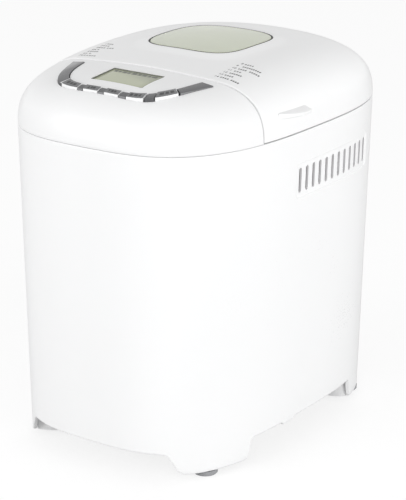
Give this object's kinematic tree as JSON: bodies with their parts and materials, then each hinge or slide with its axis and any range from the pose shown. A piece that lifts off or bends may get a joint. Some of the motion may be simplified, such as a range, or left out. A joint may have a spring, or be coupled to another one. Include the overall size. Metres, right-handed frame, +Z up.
{
  "type": "bread machine",
  "caption": "Compact bread machine with a drafted soft-cornered housing, domed hinged lid with window, display, curved key row and a lift-out pan over a belt-driven paddle.",
  "frame": {"origin": "on the floor under the middle of the housing's bounding box", "axes": "+Z up, the longest extent; +X to the machine's right as seen from the front, the shortest extent; the front with the keys faces -Y"},
  "size_m": [0.214, 0.287, 0.2946],
  "materials": {
    "white": "glossy white moulded",
    "cover_white": "satin white moulded",
    "silver_trim": "satin metallic paint",
    "key_face": "satin metallic top, pale body",
    "lcd": "grey-green display window",
    "lcd_frame": "display module",
    "board": "circuit board",
    "black_plastic": "moulded",
    "pale_plastic": "heat-proof moulding",
    "galvanised": "galvanised sheet",
    "steel": "ground steel",
    "element": "heat-tinted tube",
    "nonstick": "non-stick coating",
    "aluminium": "pressed sheet",
    "bronze": "sintered bush",
    "rubber": "moulded",
    "grey_rubber": "moulded",
    "motor": "painted steel",
    "window": "pale green clear"
  },
  "bodies": {
    "housing": {"outer_housing": "white", "control_cover": "cover_white", "key_strip": "silver_trim", "display_lens": "lcd", "display_module": "lcd_frame", "control_board": "board", "key_switches": "black_plastic", "chamber_deck": "pale_plastic", "baking_chamber": "galvanised", "heating_element": "element", "element_supports": "galvanised", "temperature_probe": "steel", "pan_seat": "aluminium", "seat_clips": "steel", "chassis_plate": "galvanised", "chamber_spacers": "pale_plastic", "base_plate": "white", "foot_front_left": "grey_rubber", "foot_front_right": "grey_rubber", "foot_rear_left": "grey_rubber", "foot_rear_right": "grey_rubber", "motor_body": "motor", "bearing_housing": "bronze", "drive_belt": "rubber", "power_board": "board", "hinge_bracket": "galvanised", "hinge_pins": "steel", "cord_gland": "black_plastic", "deck_screws": "steel", "base_screws": "steel"},
    "lid": {"lid_shell": "white", "lid_liner": "aluminium", "window_outer": "window", "window_inner": "window", "window_gasket": "rubber", "liner_screws": "steel"},
    "pan": {"bread_pan": "nonstick", "pan_base_ring": "aluminium", "pan_bush": "bronze", "bail_ears": "steel"},
    "bail": {"bail_handle": "steel", "bail_grip": "black_plastic"},
    "paddle": {"pan_shaft": "steel", "kneading_paddle": "nonstick"},
    "drive": {"drive_shaft": "steel", "large_pulley": "black_plastic"},
    "motor_rotor": {"motor_shaft": "steel", "small_pulley": "aluminium"},
    "key_one": {"key_1": "key_face"},
    "key_two": {"key_2": "key_face"},
    "key_three": {"key_3": "key_face"},
    "key_four": {"key_4": "key_face"},
    "key_five": {"key_5": "key_face"}
  },
  "joints": [
    {"name": "lid_hinge", "type": "hinge", "parent": "housing", "child": "lid", "pos_m": [0, 0.1385, 0.245], "axis": [-1, 0, 0], "range_deg": [0, 80]},
    {"name": "pan_lift", "type": "slide", "parent": "housing", "child": "pan", "axis": [0, 0, 1], "range_m": [0, 0.025]},
    {"name": "bail_swing", "type": "hinge", "parent": "pan", "child": "bail", "pos_m": [0, 0.028, 0.204], "axis": [0, -1, 0], "range_deg": [0, 180]},
    {"name": "drive_spin", "type": "hinge", "parent": "housing", "child": "drive", "pos_m": [0, 0.028, 0.028], "axis": [0, 0, 1], "continuous": true},
    {"name": "paddle_spin", "type": "hinge", "parent": "pan", "child": "paddle", "pos_m": [0, 0.028, 0.09], "axis": [0, 0, 1], "continuous": true},
    {"name": "motor_spin", "type": "hinge", "parent": "housing", "child": "motor_rotor", "pos_m": [0, -0.103, 0.04], "axis": [0, 0, 1], "continuous": true},
    {"name": "key_one_press", "type": "slide", "parent": "housing", "child": "key_one", "axis": [0, 0, -1], "range_m": [0, 0.001], "stiffness_N_per_m": 500, "springref_m": -0.0004},
    {"name": "key_two_press", "type": "slide", "parent": "housing", "child": "key_two", "axis": [0, 0, -1], "range_m": [0, 0.001], "stiffness_N_per_m": 500, "springref_m": -0.0004},
    {"name": "key_three_press", "type": "slide", "parent": "housing", "child": "key_three", "axis": [0, 0, -1], "range_m": [0, 0.001], "stiffness_N_per_m": 500, "springref_m": -0.0004},
    {"name": "key_four_press", "type": "slide", "parent": "housing", "child": "key_four", "axis": [0, 0, -1], "range_m": [0, 0.001], "stiffness_N_per_m": 500, "springref_m": -0.0004},
    {"name": "key_five_press", "type": "slide", "parent": "housing", "child": "key_five", "axis": [0, 0, -1], "range_m": [0, 0.001], "stiffness_N_per_m": 500, "springref_m": -0.0004}
  ],
  "couplings": [
    {"joint": "paddle_spin", "follows": "drive_spin", "ratio": 1},
    {"joint": "motor_spin", "follows": "drive_spin", "ratio": 4.4653}
  ]
}
